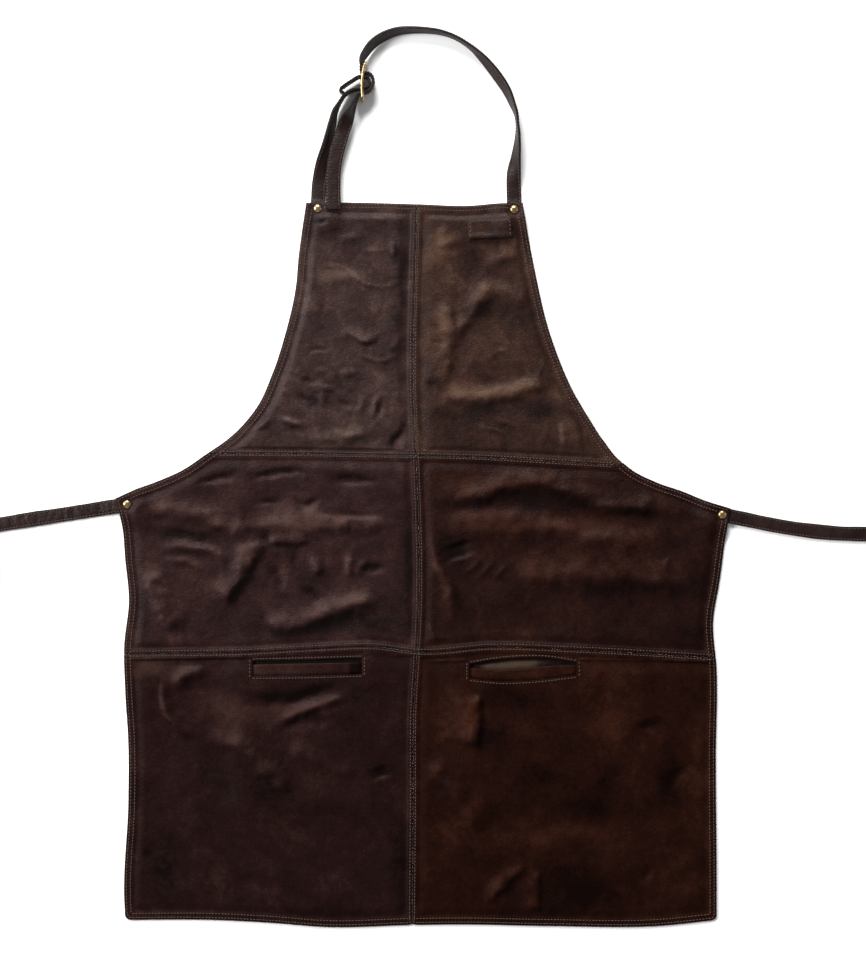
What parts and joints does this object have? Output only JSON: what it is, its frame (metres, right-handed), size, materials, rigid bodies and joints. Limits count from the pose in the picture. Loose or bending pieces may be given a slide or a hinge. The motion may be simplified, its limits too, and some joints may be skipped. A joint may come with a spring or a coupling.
{
  "type": "welding apron",
  "caption": "Full-length leather welding apron laid flat: bib, waist and skirt panels, slit pockets, riveted neck strap with brass slide, waist ties.",
  "frame": {"origin": "in the surface that the apron lies on, at the middle of its box without the waist ties", "axes": "+Z out of the front face, +Y towards the neck, +X to the right as the front is seen"},
  "size_m": [1.0772, 0.9346, 0.0224],
  "materials": {
    "leather_upper": "waxed pull-up leather, semi-matt, greyish dark brown",
    "leather_lower": "waxed pull-up leather, semi-matt, dark brown",
    "strap_leather": "folded and stitched strap leather, dark brown",
    "facing_leather": "unwaxed mid brown leather",
    "lining": "brown pocketing cloth",
    "brass": "antique brass, worn satin"
  },
  "bodies": {
    "apron": {"bib_panel_left": "leather_upper", "waist_panel_left": "leather_upper", "skirt_panel_left": "leather_lower", "pocket_welt_left": "leather_lower", "pocket_facing_left": "facing_leather", "pocket_bag_left": "lining", "neck_strap_anchor_left": "strap_leather", "rivet_cap_neck_left": "brass", "rivet_cap_waist_left": "brass", "rivet_post_neck_left": "brass", "rivet_post_waist_left": "brass", "bib_panel_right": "leather_upper", "waist_panel_right": "leather_upper", "skirt_panel_right": "leather_lower", "pocket_welt_right": "leather_lower", "pocket_facing_right": "facing_leather", "pocket_bag_right": "lining", "neck_strap_anchor_right": "strap_leather", "rivet_cap_neck_right": "brass", "rivet_cap_waist_right": "brass", "rivet_post_neck_right": "brass", "rivet_post_waist_right": "brass", "label_patch": "leather_upper"},
    "neck_loop": {"neck_strap_long": "strap_leather", "neck_strap_short": "strap_leather", "strap_slide": "brass"},
    "strap_tail": {"neck_strap_tail": "strap_leather"},
    "tie_left": {"waist_tie_left": "strap_leather", "waist_tie_roll_left": "strap_leather", "tie_band_left": "strap_leather"},
    "tie_right": {"waist_tie_right": "strap_leather", "waist_tie_roll_right": "strap_leather", "tie_band_right": "strap_leather"}
  },
  "joints": [
    {"name": "neck_loop_lift", "type": "hinge", "parent": "apron", "child": "neck_loop", "pos_m": [0, 0.289, 0.0029], "axis": [1, 0, 0], "range_deg": [0, 90]},
    {"name": "tail_swing", "type": "hinge", "parent": "neck_loop", "child": "strap_tail", "pos_m": [-0.08335, 0.3603, 0.0096], "axis": [-0.944, 0.33, 0], "range_deg": [0, 45]},
    {"name": "tie_left_swing", "type": "hinge", "parent": "apron", "child": "tie_left", "pos_m": [-0.3078, -0.027, 0.0026], "axis": [0, 0, 1], "range_deg": [-35, 35]},
    {"name": "tie_right_swing", "type": "hinge", "parent": "apron", "child": "tie_right", "pos_m": [0.3103, -0.0378, 0.0026], "axis": [0, 0, 1], "range_deg": [-35, 35]}
  ],
  "couplings": [
    {"joint": "tail_swing", "follows": "neck_loop_lift", "ratio": 0.5}
  ]
}
